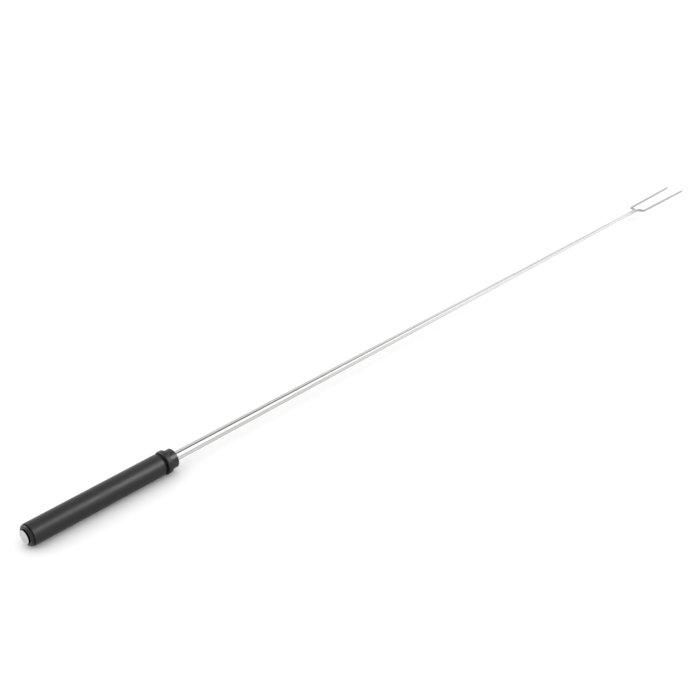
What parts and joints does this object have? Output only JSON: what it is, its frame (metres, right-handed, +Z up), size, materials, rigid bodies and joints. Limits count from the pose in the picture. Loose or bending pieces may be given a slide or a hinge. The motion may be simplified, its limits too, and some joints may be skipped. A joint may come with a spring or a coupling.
{
  "type": "marshmallow roasting fork",
  "caption": "Long roasting fork with slim round grip; a thumb collar at the front of the grip turns the twin wire shaft and its prongs about the handle axis.",
  "frame": {"origin": "centre of the flat rear face of the end button, on the handle axis", "axes": "+X along the handle axis towards the prong tips, +Y to the left prong, +Z up, with both prongs in the XY plane"},
  "size_m": [1.15, 0.0272, 0.0215],
  "materials": {
    "grip_plastic": "fine moulded satin, charcoal",
    "cap_plastic": "moulded satin, near black",
    "collar_plastic": "moulded satin, charcoal",
    "bush_acetal": "machined, natural white",
    "washer_acetal": "stamped, black",
    "liner_aluminium": "drawn tube",
    "spindle_steel": "ground bar",
    "socket_steel": "turned",
    "spring_steel": "blackened spring steel",
    "rod_stainless": "bright drawn stainless wire",
    "weld_stainless": "cleaned weld bead",
    "button_metal": "fine turned face, bright; edge blackened",
    "drag_rubber": "smooth black"
  },
  "bodies": {
    "handle": {"grip_sleeve": "grip_plastic", "rear_cap": "cap_plastic", "rear_bush": "bush_acetal", "liner_tube": "liner_aluminium", "front_bush": "bush_acetal"},
    "spinner": {"spindle": "spindle_steel", "end_button": "button_metal", "retaining_clip": "spring_steel", "rear_flat_washer": "spindle_steel", "disc_spring": "spring_steel", "rear_thrust_washer": "washer_acetal", "rod_socket": "socket_steel", "spindle_pin": "spring_steel", "rod_cross_pin": "spring_steel", "front_thrust_washer": "washer_acetal", "drag_ring": "drag_rubber", "thumb_collar": "collar_plastic", "collar_grub_screw": "spring_steel", "left_prong_rod": "rod_stainless", "right_prong_rod": "rod_stainless", "fork_weld": "weld_stainless"}
  },
  "joints": [
    {"name": "fork_spin", "type": "hinge", "parent": "handle", "child": "spinner", "pos_m": [0.0675, 0, 0], "axis": [1, 0, 0], "continuous": true}
  ]
}
